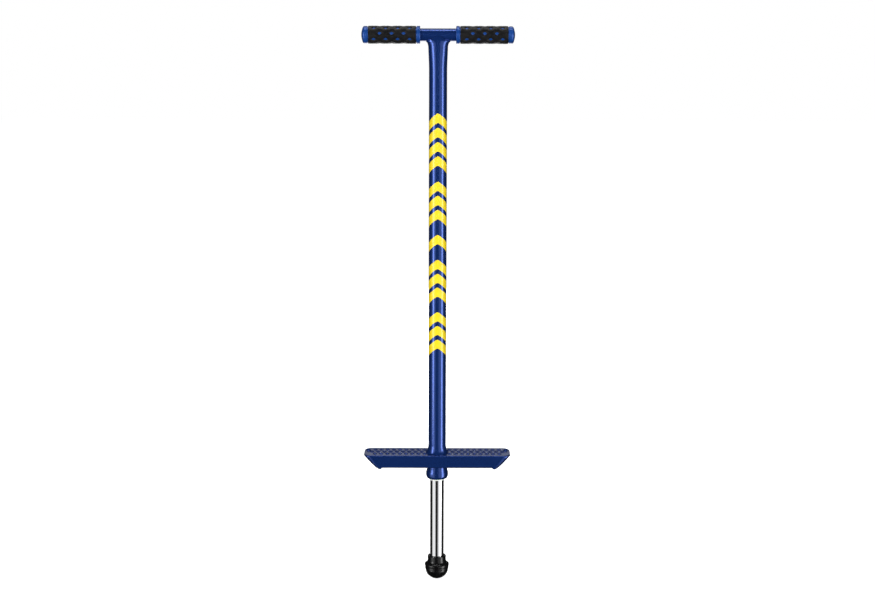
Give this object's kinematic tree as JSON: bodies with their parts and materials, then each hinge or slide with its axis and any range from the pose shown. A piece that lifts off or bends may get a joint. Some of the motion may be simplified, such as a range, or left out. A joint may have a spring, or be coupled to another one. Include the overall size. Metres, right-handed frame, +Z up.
{
  "type": "pogo stick",
  "caption": "Steel pogo stick: a sprung chrome plunger with a domed rubber foot slides in a column with a T handlebar and a studded footrest.",
  "frame": {"origin": "middle of the small flat under the rubber foot, where the stick meets the ground", "axes": "+Z up along the column, +X along the handlebar and the footrest, -Y towards the front"},
  "size_m": [0.268, 0.056, 1.0086],
  "materials": {
    "blue_paint": "glossy metallic blue paint over steel",
    "blue_plastic": "moulded blue plastic, semi-gloss",
    "grip_rubber": "soft black rubber, matte",
    "black_rubber": "moulded black rubber, satin",
    "chrome": "bright chrome plate",
    "spring_steel": "oiled spring steel",
    "zinc_steel": "zinc plated steel",
    "white_nylon": "natural white nylon"
  },
  "bodies": {
    "frame": {"column_tube": "blue_paint", "handlebar_tube": "blue_paint", "handlebar_weld": "blue_paint", "footrest": "blue_paint", "footrest_weld": "blue_paint", "lower_collar": "blue_paint", "lower_guide_bush": "white_nylon", "rebound_bumper": "black_rubber", "main_spring": "spring_steel", "spring_top_seat": "zinc_steel", "grip_core_left": "blue_plastic", "grip_rubber_left": "grip_rubber", "grip_cap_left": "blue_plastic", "grip_core_right": "blue_plastic", "grip_rubber_right": "grip_rubber", "grip_cap_right": "blue_plastic"},
    "spring_carrier": {"spring_lower_washer": "zinc_steel"},
    "plunger": {"plunger_tube": "chrome", "plunger_head": "zinc_steel", "plunger_head_pin": "zinc_steel", "foot_washer": "zinc_steel", "rubber_foot": "black_rubber"}
  },
  "joints": [
    {"name": "plunger_slide", "type": "slide", "parent": "frame", "child": "spring_carrier", "axis": [0, 0, 1], "range_m": [0, 0.11], "stiffness_N_per_m": 7200, "springref_m": -0.02, "deforming": ["main_spring"]},
    {"name": "plunger_spin", "type": "hinge", "parent": "spring_carrier", "child": "plunger", "pos_m": [0, 0, 0], "axis": [0, 0, 1], "continuous": true}
  ]
}
